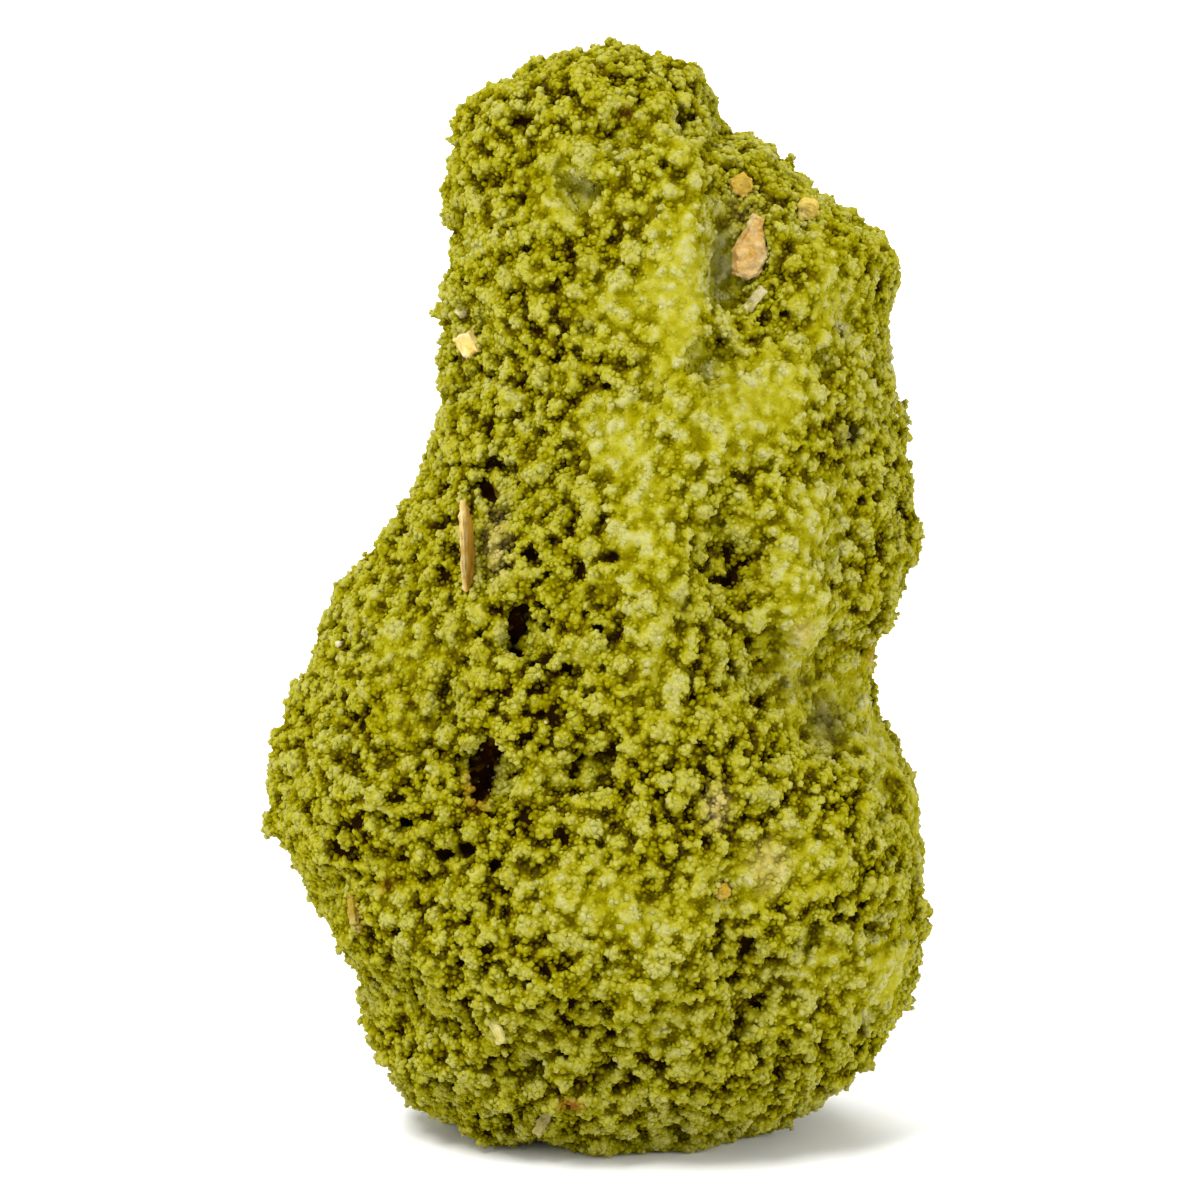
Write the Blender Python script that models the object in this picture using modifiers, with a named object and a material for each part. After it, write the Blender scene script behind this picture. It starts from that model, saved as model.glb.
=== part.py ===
"""Nontronite specimen: an upright lump of granular yellow-green clay mineral, with
small flakes and laths of paler mineral seated in its skin.

Metres, +Z up. +X is to the right of the front view and -Y is the front. The lump
stands on a flat worn facet at Z = 0, with the origin at the middle of its footprint.
"""
import math
import random

import bmesh
import bpy
from mathutils import Euler, Matrix, Vector
from mathutils.bvhtree import BVHTree
from mathutils.kdtree import KDTree

MM = 0.001

# Driving dimensions of the lump, in millimetres before scaling by MM.
TOP_Z = 74.7
TOP_CAP_START = 65.5
BOTTOM_Z = -2.0
BOTTOM_CAP_START = 5.0
TOP_CAP_CENTRE = (1.0, 0.0)
BOTTOM_CAP_CENTRE = (1.8, -1.0)

# Side outlines seen from the front: (height, x) of the left and the right edge.
LEFT_X = [
    (-2, -14.6), (3, -15.3), (8, -16.5), (13, -18.2), (19, -21.2), (24, -22.7),
    (30, -21.0), (36, -18.6), (41, -15.4), (45, -12.7), (50, -11.5), (54, -10.8),
    (58, -11.1), (61, -10.2), (65, -11.0), (70, -10.6), (75, -10.6),
]
RIGHT_X = [
    (-2, 14.8), (3, 18.0), (8, 20.9), (14, 22.7), (20, 22.2), (26, 21.4), (29, 19.3),
    (33, 19.0), (37, 21.3), (42, 22.3), (48, 21.4), (53, 20.2), (59, 20.6), (61.5, 19.6),
    (63, 16.8), (65, 14.3), (66.9, 12.4), (68.6, 9.7), (75, 10.4),
]
# How far forward or back those two edges lie: (height, y).
LEFT_Y = [(-2, -1.0), (20, -1.0), (35, -1.5), (50, 0.5), (75, 0.0)]
RIGHT_Y = [(-2, 0.0), (20, 0.5), (33, 2.5), (45, 5.0), (60, 5.5), (68, 4.0), (75, 0.5)]
# The line of the foremost and of the rearmost points: (height, x) and (height, y).
FRONT_X = [(-2, 1.0), (20, 1.0), (32, 1.8), (40, 3.5), (50, 4.8), (60, 3.6), (75, 1.0)]
FRONT_Y = [
    (-2, -9.4), (3, -12.4), (8, -15.8), (14, -17.8), (21, -18.4), (30, -17.4), (37, -16.3),
    (44, -15.2), (50, -13.2), (58, -11.6), (66, -10.4), (75, -9.0),
]
BACK_X = [(-2, 1.5), (20, 0.0), (40, 1.5), (60, 4.0), (75, 1.0)]
BACK_Y = [
    (-2, 11.4), (4, 13.4), (12, 15.2), (22, 15.8), (32, 14.4), (42, 14.2), (52, 13.6),
    (60, 12.4), (66, 10.0), (75, 8.4),
]

# Swells (+) and hollows (-) that stand out from that smooth form:
# x, height, radius across, radius up, lean in degrees, rise.
FRONT_RELIEF = {
    "valley between neck and shoulder": (8.9, 61.5, 1.7, 7.0, 2, -3.4),
    "ridge of the neck": (6.0, 61.0, 1.6, 7.5, -8, 1.0),
    "dimple for the large flake": (9.8, 60.8, 1.8, 2.4, 0, -0.8),
    "crown of the shoulder": (15.0, 60.0, 3.2, 5.0, 0, 0.9),
    "saddle below the valley": (11.4, 50.6, 4.6, 3.2, 20, 1.5),
    "upper spur": (5.6, 50.0, 1.8, 5.5, -6, 1.0),
    "buttress": (12.8, 40.0, 1.7, 4.2, 12, 1.8),
    "slope right of the buttress": (16.6, 42.5, 2.2, 6.0, 0, -0.9),
    "trough left of the buttress": (8.2, 40.5, 1.9, 5.6, 0, -1.7),
    "spur": (3.4, 40.0, 2.2, 7.0, 3, 1.5),
    "step under the spur": (4.8, 33.6, 1.6, 1.5, 0, -1.0),
    "notch valley at the right": (12.8, 33.4, 4.4, 2.1, -14, -2.2),
    "stained recess": (14.9, 29.8, 1.9, 1.8, 0, -1.1),
    "right belly lobe": (16.4, 19.6, 4.4, 5.2, 0, 1.2),
    "trough between the belly lobes": (9.2, 16.0, 1.6, 5.6, 12, -1.3),
    "middle belly lobe": (3.2, 19.0, 3.8, 5.0, 0, 0.8),
    "low brow": (-3.0, 13.0, 7.0, 2.0, 6, 0.8),
    "ledge at the lower left": (-11.4, 15.6, 4.2, 2.0, 8, 1.1),
    "hollow under that ledge": (-13.0, 10.2, 3.2, 2.1, 0, -1.2),
    "hollow of the left flank": (-11.0, 34.5, 3.4, 3.0, 0, -0.8),
    "lobe of the left flank": (-17.0, 24.0, 3.8, 4.2, 0, 0.8),
    "open hole": (-7.4, 27.6, 1.0, 1.8, 18, -3.2),
    "upper hole": (-5.4, 36.8, 1.1, 1.2, 0, -2.2),
    "pit beside the blade": (-7.0, 44.8, 1.2, 1.1, 0, -1.7),
    "dent of the brow": (-2.6, 66.5, 2.4, 2.8, 0, -0.8),
    "knob of the brow": (0.6, 69.0, 3.0, 2.6, 0, 0.5),
    "crease of the neck": (-7.6, 52.6, 3.6, 1.2, 10, -1.1),
}
BACK_RELIEF = {
    "back valley": (-4.0, 42.0, 2.4, 9.0, 12, -2.0),
    "back ridge": (5.0, 38.0, 3.0, 12.0, -6, 1.6),
    "back shoulder lobe": (13.0, 52.0, 4.0, 6.0, 0, 1.2),
    "back fill of the waist": (14.0, 32.6, 5.0, 2.8, 8, 1.7),
    "back belly lobe": (-9.0, 20.0, 5.5, 5.5, 0, 1.4),
    "back trough": (2.4, 15.0, 1.8, 6.0, -10, -1.4),
    "back right lobe": (13.0, 16.0, 4.5, 5.0, 0, 1.1),
    "back hole": (-12.0, 33.0, 1.3, 1.6, 0, -2.4),
    "back pit": (6.5, 57.5, 1.3, 1.4, 0, -1.8),
}

LUMP_SIZE = 6.5
LUMP_RISE = 1.8
KNOB_SIZE = 3.5
KNOB_RISE = 1.7
KNOB_LEVEL = 0.32
PIT_COUNT = 90
PIT_RADIUS = (0.7, 1.3)
PIT_DEPTH = (1.0, 2.2)
PIT_REACH = 2.2
PIT_SEED = 11
RELIEF_FACING_GAIN = 2.0
SECTION_SQUARENESS = 0.94
FINE_SUBDIVISIONS = 7
MASS_TRIANGLES = 8600

BASE_CUT_SIZE = 80.0
POCKET_GAP = 0.22
POCKET_MOUTH = 2.4
EDGE_WEAR = 0.09
WELD_DISTANCE = 0.001
RAY_START_Y = -60.0
MINERAL_ROUGHNESS = 0.95
FLAKE_ROUGHNESS = 0.7

GREEN = (0.330, 0.300, 0.020)
TAN = (0.640, 0.420, 0.220)
PALE = (0.620, 0.570, 0.340)
BROWN = (0.260, 0.180, 0.050)
AMBER = (0.420, 0.270, 0.030)

# Outlines of the embedded pieces, as points on their own flat faces in millimetres.
PEAR = [(-0.75, -2.0), (0.35, -2.1), (1.1, -1.2), (1.05, 0.1), (0.4, 1.0), (0.2, 2.0),
        (-0.5, 2.1), (-0.75, 0.9), (-1.15, -0.3)]
CHIP = [(-0.7, -0.5), (0.1, -0.75), (0.75, -0.35), (0.65, 0.45), (-0.05, 0.8), (-0.65, 0.4)]
SLAB = [(-0.45, -0.85), (0.85, -0.7), (0.55, 0.75), (-0.85, 0.65)]
BLADE = [(-0.5, -3.0), (0.45, -2.6), (0.75, -0.6), (0.6, 1.6), (-0.1, 3.1), (-0.6, 2.4)]
LATH = [(-0.36, -0.9), (0.3, -0.95), (0.38, 0.85), (-0.28, 0.95)]

# Each embedded piece: outline, thickness, where it sits (x, height), the way its face
# looks (turn about Z, tilt up), its roll on that face, how far it stands proud, colour.
EMBEDDED = {
    "flake_large": (PEAR, 0.9, (9.9, 60.8), (18, 6), 14, 0.25, TAN),
    "flake_upper": (CHIP, 0.7, (9.2, 64.8), (8, 10), 60, 0.25, TAN),
    "flake_shoulder": (CHIP, 0.7, (13.6, 63.2), (-10, 30), 0, 0.25, TAN),
    "flake_left": (SLAB, 0.7, (-8.75, 54.4), (-34, 4), -22, 0.25, TAN),
    "blade_left": (BLADE, 0.45, (-8.5, 41.9), (62, 0), -4, 0.15, PALE),
    "lath_brown": (LATH, 0.5, (-16.2, 17.9), (-36, 0), -10, 0.2, BROWN),
    "lath_base": (LATH, 0.5, (-3.8, 3.1), (-6, -22), 27, 0.25, PALE),
    "lath_valley": (LATH, 0.5, (10.0, 57.6), (10, 6), 38, 0.25, PALE),
    "lath_low": (LATH, 0.45, (-6.7, 10.8), (-12, -8), -30, 0.2, PALE),
}
AMBER_SEAT = (7.8, 20.1)
AMBER_RADIUS = 0.62
AMBER_PROUD = 0.15


def clear_scene():
    for old in list(bpy.data.objects):
        bpy.data.objects.remove(old, do_unlink=True)


def new_collection(name):
    collection = bpy.data.collections.new(name)
    bpy.context.scene.collection.children.link(collection)
    return collection


def principled(name, colour, roughness):
    material = bpy.data.materials.new(name)
    material.use_nodes = True
    shader = material.node_tree.nodes["Principled BSDF"]
    shader.inputs["Base Color"].default_value = (*colour, 1.0)
    shader.inputs["Roughness"].default_value = roughness
    shader.inputs["Metallic"].default_value = 0.0
    return material


def add_object(name, mesh, collection, parent, material=None):
    made = bpy.data.objects.new(name, mesh)
    collection.objects.link(made)
    made.parent = parent
    if material:
        mesh.materials.append(material)
    return made


def along(profile, height):
    """Value of a profile at a height, on a smooth curve through its points."""
    last = len(profile) - 1
    if height <= profile[0][0]:
        return profile[0][1]
    if height >= profile[last][0]:
        return profile[last][1]
    k = max(i for i in range(last) if profile[i][0] <= height)
    (z0, v0), (z1, v1) = profile[k], profile[k + 1]
    before = profile[max(k - 1, 0)]
    after = profile[min(k + 2, last)]
    span = z1 - z0
    slope0 = (v1 - before[1]) / (z1 - before[0]) * span
    slope1 = (after[1] - v0) / (after[0] - z0) * span
    t = (height - z0) / span
    return ((2 * t**3 - 3 * t**2 + 1) * v0 + (t**3 - 2 * t**2 + t) * slope0
            + (3 * t**2 - 2 * t**3) * v1 + (t**3 - t**2) * slope1)


def cap_factor(height):
    """Share of the section left where the lump rounds over at its top and bottom."""
    if height > TOP_CAP_START:
        reach = (height - TOP_CAP_START) / (TOP_Z - TOP_CAP_START)
        return math.sqrt(max(0.0, 1.0 - reach * reach)), TOP_CAP_CENTRE
    if height < BOTTOM_CAP_START:
        reach = (BOTTOM_CAP_START - height) / (BOTTOM_CAP_START - BOTTOM_Z)
        return math.sqrt(max(0.0, 1.0 - reach * reach)), BOTTOM_CAP_CENTRE
    return 1.0, BOTTOM_CAP_CENTRE


def section_point(height, turn):
    """Point of the section at a height. The section is four quarter ovals that meet
    at its rightmost, rearmost, leftmost and foremost points."""
    across, deep = math.cos(turn), math.sin(turn)
    side_x, side_y = (RIGHT_X, RIGHT_Y) if across >= 0 else (LEFT_X, LEFT_Y)
    end_x, end_y = (BACK_X, BACK_Y) if deep >= 0 else (FRONT_X, FRONT_Y)
    mid_x = along(end_x, height)
    mid_y = along(side_y, height)
    share_x = abs(across) ** SECTION_SQUARENESS
    share_y = abs(deep) ** SECTION_SQUARENESS
    x = mid_x + (along(side_x, height) - mid_x) * share_x
    y = mid_y + (along(end_y, height) - mid_y) * share_y
    factor, (cap_x, cap_y) = cap_factor(height)
    return cap_x + (x - cap_x) * factor, cap_y + (y - cap_y) * factor


def relief_rise(x, z, features):
    total = 0.0
    for cx, cz, across, up, lean, rise in features.values():
        angle = math.radians(lean)
        dx = (x - cx) * math.cos(angle) + (z - cz) * math.sin(angle)
        dz = (z - cz) * math.cos(angle) - (x - cx) * math.sin(angle)
        total += rise * math.exp(-(dx / across) ** 2 - (dz / up) ** 2)
    return total


def add_displace(target, name, kind, size, strength, mid_level):
    texture = bpy.data.textures.new(name, kind)
    texture.noise_scale = size * MM
    push = target.modifiers.new(name, "DISPLACE")
    push.texture = texture
    push.texture_coords = "LOCAL"
    push.strength = strength * MM
    push.mid_level = mid_level


def add_cut(target, cutter, name):
    cut = target.modifiers.new(name, "BOOLEAN")
    cut.operation = "DIFFERENCE"
    cut.solver = "EXACT"
    cut.object = cutter


def as_cutter(cutter):
    cutter.hide_render = True
    cutter.display_type = "WIRE"
    return cutter


def dig_pits(shape):
    """Sinks small round pits at scattered places of the skin."""
    draw = random.Random(PIT_SEED)
    verts = list(shape.verts)
    tree = KDTree(len(verts))
    for index, vert in enumerate(verts):
        tree.insert(vert.co, index)
    tree.balance()
    shape.normal_update()
    for _ in range(PIT_COUNT):
        centre = verts[draw.randrange(len(verts))]
        middle = centre.co.copy()
        inward = -centre.normal
        radius = draw.uniform(*PIT_RADIUS)
        depth = draw.uniform(*PIT_DEPTH)
        for _place, index, distance in tree.find_range(middle, radius * PIT_REACH):
            verts[index].co += inward * depth * math.exp(-(distance / radius) ** 2)


def shape_lump():
    """The lump's skin: a fine ball moved out to the sections and given its relief."""
    shape = bmesh.new()
    bmesh.ops.create_icosphere(shape, subdivisions=FINE_SUBDIVISIONS, radius=1.0)
    middle = (TOP_Z + BOTTOM_Z) / 2
    half = (TOP_Z - BOTTOM_Z) / 2
    for vert in shape.verts:
        turn = math.atan2(vert.co.y, vert.co.x)
        height = middle + half * max(-1.0, min(1.0, vert.co.z))
        x, y = section_point(height, turn)
        vert.co = Vector((x, y, height))
    shape.normal_update()
    moves = []
    for vert in shape.verts:
        features = FRONT_RELIEF if vert.normal.y < 0 else BACK_RELIEF
        facing = min(1.0, abs(vert.normal.y) * RELIEF_FACING_GAIN)
        rise = relief_rise(vert.co.x, vert.co.z, features) * facing
        moves.append(vert.normal * rise)
    for vert, move in zip(shape.verts, moves):
        vert.co += move
    dig_pits(shape)
    bmesh.ops.scale(shape, verts=shape.verts, vec=(MM, MM, MM))
    mesh = bpy.data.meshes.new("nontronite_mass")
    shape.to_mesh(mesh)
    shape.free()
    return mesh


def build_mass(collection, cutters, parent):
    mass = add_object("nontronite_mass", shape_lump(), collection, parent,
                      principled("nontronite clay", GREEN, MINERAL_ROUGHNESS))
    mass.data.shade_smooth()
    add_displace(mass, "lumps", "CLOUDS", LUMP_SIZE, LUMP_RISE, 0.5)
    add_displace(mass, "knobs", "VORONOI", KNOB_SIZE, -KNOB_RISE, KNOB_LEVEL)
    thin = mass.modifiers.new("fewer faces", "DECIMATE")
    thin.ratio = MASS_TRIANGLES / len(mass.data.polygons)
    shape = bmesh.new()
    bmesh.ops.create_cube(shape, size=BASE_CUT_SIZE * MM)
    bmesh.ops.translate(shape, verts=shape.verts, vec=(0, 0, -BASE_CUT_SIZE * MM / 2))
    block_mesh = bpy.data.meshes.new("base_cutter")
    shape.to_mesh(block_mesh)
    shape.free()
    block = as_cutter(add_object("base_cutter", block_mesh, cutters, parent))
    add_cut(mass, block, "flat worn base")
    return mass


def front_finder(mass):
    """Ray search on the lump as it stands, which gives the front point at (x, z)."""
    bpy.context.view_layer.update()
    graph = bpy.context.evaluated_depsgraph_get()
    tree = BVHTree.FromObject(mass, graph)

    def find(x, z):
        start = Vector((x, RAY_START_Y, z)) * MM
        point, _normal, _index, _distance = tree.ray_cast(start, Vector((0, 1, 0)))
        return point

    return find


def plate_mesh(name, outline, grow, front, back):
    """A flat piece with this outline, grown by a margin, from back to front."""
    curve = bpy.data.curves.new(name, "CURVE")
    curve.dimensions = "2D"
    curve.fill_mode = "BOTH"
    curve.extrude = (front - back) / 2 * MM
    spline = curve.splines.new("POLY")
    spline.points.add(len(outline) - 1)
    for point, (u, v) in zip(spline.points, outline):
        size = math.hypot(u, v)
        stretch = (size + grow) / size
        point.co = (u * stretch * MM, v * stretch * MM, 0, 1)
    spline.use_cyclic_u = True
    holder = bpy.data.objects.new(name, curve)
    bpy.context.scene.collection.objects.link(holder)
    bpy.context.view_layer.update()
    graph = bpy.context.evaluated_depsgraph_get()
    mesh = bpy.data.meshes.new_from_object(holder.evaluated_get(graph))
    bpy.data.objects.remove(holder, do_unlink=True)
    bpy.data.curves.remove(curve)
    shape = bmesh.new()
    shape.from_mesh(mesh)
    bmesh.ops.remove_doubles(shape, verts=shape.verts, dist=WELD_DISTANCE * MM)
    bmesh.ops.recalc_face_normals(shape, faces=shape.faces)
    bmesh.ops.translate(shape, verts=shape.verts, vec=(0, 0, (front + back) / 2 * MM))
    shape.to_mesh(mesh)
    shape.free()
    mesh.name = name
    return mesh


def seat_matrix(point, facing, roll, proud):
    """Frame of an embedded piece: its own Z looks out of the lump, its Y is up."""
    turn, tilt = (math.radians(angle) for angle in facing)
    stand = Euler((math.pi / 2 + tilt, 0, turn), "XYZ").to_matrix().to_4x4()
    outward = stand.to_3x3() @ Vector((0, 0, 1))
    place = Matrix.Translation(point + outward * proud * MM)
    return place @ stand @ Matrix.Rotation(math.radians(-roll), 4, "Z")


def build_embedded(collection, cutters, parent, mass, find):
    for name, (outline, thick, seat, facing, roll, proud, colour) in EMBEDDED.items():
        frame = seat_matrix(find(*seat), facing, roll, proud)
        piece = add_object(name, plate_mesh(name, outline, 0.0, 0.0, -thick),
                           collection, parent, principled(name, colour, FLAKE_ROUGHNESS))
        piece.matrix_local = frame
        soften = piece.modifiers.new("worn edges", "BEVEL")
        soften.width = EDGE_WEAR * MM
        soften.segments = 1
        pocket_mesh = plate_mesh(name + "_pocket", outline, POCKET_GAP,
                                 POCKET_MOUTH, -thick - POCKET_GAP)
        pocket = as_cutter(add_object(name + "_pocket", pocket_mesh, cutters, parent))
        pocket.matrix_local = frame
        add_cut(mass, pocket, name + " pocket")


def build_amber(collection, cutters, parent, mass, find):
    """A rounded amber grain, and the round pocket that it sits in."""
    centre = find(*AMBER_SEAT) + Vector((0, -(AMBER_PROUD - AMBER_RADIUS / 2) * MM, 0))
    for name, radius, home in (("grain_amber", AMBER_RADIUS, collection),
                               ("grain_amber_pocket", AMBER_RADIUS + POCKET_GAP, cutters)):
        shape = bmesh.new()
        bmesh.ops.create_icosphere(shape, subdivisions=2, radius=radius * MM)
        mesh = bpy.data.meshes.new(name)
        shape.to_mesh(mesh)
        shape.free()
        ball = add_object(name, mesh, home, parent)
        ball.location = centre
        if home is collection:
            mesh.materials.append(principled(name, AMBER, FLAKE_ROUGHNESS))
            mesh.shade_smooth()
        else:
            add_cut(mass, as_cutter(ball), "amber pocket")


def stand_on_origin(collection, centre):
    """Moves the shared parent so that the footprint's middle is at the origin."""
    bpy.context.view_layer.update()
    graph = bpy.context.evaluated_depsgraph_get()
    corners = []
    for piece in collection.objects:
        if piece.type == "MESH":
            shown = piece.evaluated_get(graph)
            corners += [shown.matrix_world @ vert.co for vert in shown.data.vertices]
    low = [min(corner[axis] for corner in corners) for axis in range(3)]
    high = [max(corner[axis] for corner in corners) for axis in range(3)]
    centre.location = (-(low[0] + high[0]) / 2, -(low[1] + high[1]) / 2, -low[2])
    bpy.context.view_layer.update()


def main():
    clear_scene()
    collection = new_collection("nontronite specimen")
    cutters = new_collection("cutters")
    centre = bpy.data.objects.new("footprint_centre", None)
    collection.objects.link(centre)
    mass = build_mass(collection, cutters, centre)
    find = front_finder(mass)
    build_embedded(collection, cutters, centre, mass, find)
    build_amber(collection, cutters, centre, mass, find)
    stand_on_origin(collection, centre)


main()
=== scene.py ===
"""Looks of the nontronite specimen: a fused crust of clay grains on knobs and pits, worn
pale ridges, and embedded flakes and laths, on a plain pale floor."""
import math

import bmesh
import bpy
import numpy as np
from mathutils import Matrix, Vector, noise
from mathutils.bvhtree import BVHTree
from mathutils.kdtree import KDTree


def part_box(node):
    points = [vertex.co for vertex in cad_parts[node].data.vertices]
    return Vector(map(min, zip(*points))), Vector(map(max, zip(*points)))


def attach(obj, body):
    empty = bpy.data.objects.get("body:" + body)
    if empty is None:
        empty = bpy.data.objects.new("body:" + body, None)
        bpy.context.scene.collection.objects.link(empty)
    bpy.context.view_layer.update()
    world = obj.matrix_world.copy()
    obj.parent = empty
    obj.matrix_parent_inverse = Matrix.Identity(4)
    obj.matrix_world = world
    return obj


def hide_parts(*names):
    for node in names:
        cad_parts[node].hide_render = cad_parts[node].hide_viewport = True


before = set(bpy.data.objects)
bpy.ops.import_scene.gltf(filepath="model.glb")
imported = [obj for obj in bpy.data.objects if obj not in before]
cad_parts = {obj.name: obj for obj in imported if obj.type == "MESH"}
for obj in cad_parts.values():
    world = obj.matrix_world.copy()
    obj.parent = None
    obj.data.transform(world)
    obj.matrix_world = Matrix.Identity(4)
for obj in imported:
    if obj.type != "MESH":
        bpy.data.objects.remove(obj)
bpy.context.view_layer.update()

MM = 0.001

# The photo's camera, in metres and degrees.
CAMERA_TARGET = Vector((0.0, 0.0, 0.03685))
CAMERA_DISTANCE = 0.2257
CAMERA_ELEVATION = 8.0
CAMERA_LENS = 100.0
SENSOR_WIDTH = 36.0

# Base surface that the crust stands on.
BASE_VOXEL = 0.27 * MM
BASE_SMOOTHING = 40

# Knobs of grown-together grains, standing on the crust's floor.
KNOB_SEED = 5
KNOB_CANDIDATES = 90000
KNOB_SPACING = (0.54 * MM, 1.20 * MM)
KNOB_RADIUS = (0.31 * MM, 0.86 * MM)
KNOB_HEIGHT = 1.15
KNOB_LIFT = 0.26 * MM
KNOB_WARP = 0.42 * MM
KNOB_WARP_SCALE = 0.9 * MM
CRUST_DEPTH = 0.92 * MM
CRUST_LEVEL = 0.72 * MM
WORN_FLATTENS = 0.80
FLAKE_LEVEL = 0.72 * MM
FLAKE_REACH = 0.5 * MM
PIT_SEED = 32
PIT_CANDIDATES = 22000
PIT_SPACING = (0.9 * MM, 2.8 * MM)
PIT_RADIUS = (0.20 * MM, 0.44 * MM)
PIT_DEPTH = 1.6 * MM

# Grains.
GRAIN_SEED = 9
GRAIN_CANDIDATES = 420000
GRAIN_SPACING = (0.28 * MM, 0.54 * MM)
GRAIN_FILL = 0.60
GRAIN_JITTER = 0.14
GRAIN_STRETCH = (0.78, 1.26)

# The fused crust.
CRUST_VOXEL = 0.17 * MM
CRUST_TRIANGLES = 480000
CRUST_PIECES = 3
# The crust's height and its hollows between neighbours also set painted shade, dark in pits and
# creases, and painted highlight, pale on grain tips; CREASE_SHADE is painted shade between the
# crumbs.
RISE_RANGE = (-1.3 * MM, 0.30 * MM)
CAVITY_STEPS = 12
CAVITY_DEPTH = 0.18 * MM
CREASE_SHADE = 0.14

# Crumbs: the finest grains, half sunk in the crust.
CRUMB_SEED = 17
CRUMB_CANDIDATES = 420000
CRUMB_SPACING = (0.19 * MM, 0.41 * MM)
CRUMB_FILL = 0.80
CRUMB_JITTER = 0.12
CRUMB_STRETCH = (0.74, 1.30)
CRUMB_TILT = 0.34
CRUMB_OVER_FLAKE = 0.5
CRUMB_LIMIT = 60000
CRUMBS_PER_PIECE = 24000
CRUMB_LEAST_RISE = 0.34

# Worn, dusty ground: x and height in millimetres, radii, strength.
WORN_FRONT = [
    (3.0, 43.2, 3.2, 5.0, 0.7),
    (9.4, 50.6, 4.6, 3.4, 1.0),
    (12.6, 39.6, 2.2, 4.4, 0.8),
    (0.2, 19.6, 4.4, 2.6, 0.5),
    (9.6, 21.2, 3.4, 2.4, 0.5),
    (5.0, 57.5, 2.6, 7.5, 1.0),
    (1.4, 48.5, 2.6, 2.6, 0.9),
    (1.5, 57.0, 2.5, 2.5, 0.6),
    (-2.6, 64.2, 2.6, 2.2, 0.9),
    (5.6, 51.0, 2.0, 6.0, 0.7),
    (3.4, 36.0, 1.8, 5.0, 0.6),
    (16.0, 57.0, 3.0, 3.0, 0.5),
    (14.0, 43.0, 2.2, 3.0, 0.8),
    (14.0, 35.5, 2.4, 3.0, 0.6),
    (17.0, 31.0, 4.0, 3.0, 0.8),
    (13.5, 22.0, 2.5, 2.0, 0.7),
    (14.0, 14.5, 2.0, 2.0, 0.6),
    (18.0, 12.0, 2.6, 3.6, 0.5),
    (-13.5, 35.0, 2.5, 3.0, 0.45),
    (-12.6, 30.8, 2.0, 2.0, 0.45),
    (3.4, 10.6, 3.0, 1.2, 0.4),
]

# Porous ground: x and height in millimetres, radii, share of the pits that are open.
POROUS_LEAST = 0.32
POROUS_BACK = 0.5
POROUS_FRONT = [
    (-5.4, 37.0, 5.0, 6.0, 1.0),
    (-8.1, 28.7, 7.0, 5.0, 1.0),
    (0.0, 30.0, 6.0, 5.0, 0.8),
    (-6.8, 17.7, 8.0, 5.0, 0.8),
    (-2.7, 9.5, 9.0, 4.0, 0.7),
    (8.1, 12.9, 6.0, 5.0, 0.9),
    (16.9, 16.3, 4.0, 5.0, 0.8),
    (-2.7, 69.0, 4.0, 3.0, 0.6),
    (-8.0, 50.5, 3.0, 5.0, 0.5),
    (6.8, 33.4, 3.0, 4.0, 0.7),
    (16.2, 47.8, 2.0, 2.0, 0.8),
]

# Pits of the front that stand out: x and height, radius, in millimetres.
PITS_FRONT = [
    (-3.6, 50.8, 0.40), (0.0, 44.1, 0.40), (-4.4, 41.3, 0.50), (0.5, 41.7, 0.40),
    (-5.1, 37.2, 0.60), (-5.3, 35.5, 0.50), (-7.6, 45.6, 0.50), (-3.0, 42.8, 0.40),
    (-9.7, 29.0, 0.45), (-4.2, 30.4, 0.40), (-19.5, 26.3, 0.50), (-12.9, 24.0, 0.55),
    (-9.1, 22.6, 0.40), (-6.8, 21.8, 0.45), (-2.2, 23.5, 0.45), (-10.0, 22.2, 0.40),
    (-13.4, 16.9, 0.50), (-3.7, 15.0, 0.40), (-16.2, 20.1, 0.45),
]
# Open holes of the front: x and height, radius across and up.
HOLES_FRONT = [
    (-7.5, 27.1, 0.8, 1.3),
    (-7.1, 28.4, 0.7, 1.1),
    (-5.4, 36.6, 0.6, 0.9),
    (-7.2, 45.0, 0.7, 0.6),
]
HOLE_DEPTH = 1.2 * MM
# Hollows of the front that the crust fills: x and height, radius across and up, share.
FILLS_FRONT = [
    (-0.6, 66.1, 1.3, 1.3, 1.0),
    (8.0, 59.6, 0.8, 1.6, 0.7),
]
FILL_HEIGHT = 1.1 * MM
# Stains of the front: kind, x and height, radius across and up, strength.
STAINS_FRONT = [
    ("dark", 14.9, 29.7, 1.1, 1.6, 0.9),
    ("dark", 16.2, 48.5, 0.9, 0.6, 0.8),
    ("dark", -0.9, 55.9, 0.6, 0.6, 0.6),
    ("dark", 12.6, 32.6, 1.4, 1.0, 0.4),
    ("dark", 5.2, 38.6, 0.8, 1.2, 0.35),
    ("rust", -1.9, 5.1, 0.9, 0.55, 1.0),
    ("rust", -7.9, 26.4, 0.9, 1.3, 0.9),
    ("rust", 1.7, 69.4, 0.5, 0.5, 0.7),
    ("rust", -13.9, 19.8, 0.5, 0.4, 0.8),
    ("rust", 18.8, 33.4, 1.2, 1.2, 0.45),
    ("rust", -15.8, 17.2, 0.5, 1.0, 0.6),
    ("tan", 7.4, 25.6, 0.8, 1.4, 0.8),
    ("tan", 10.8, 21.6, 1.3, 1.5, 0.6),
    ("tan", 9.4, 62.8, 1.8, 2.2, 0.25),
    ("tan", -9.4, 54.0, 0.8, 1.0, 0.4),
    ("tan", 13.0, 36.4, 0.8, 0.9, 0.5),
    ("tan", -6.6, 42.0, 0.9, 2.2, 0.6),
]

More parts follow.
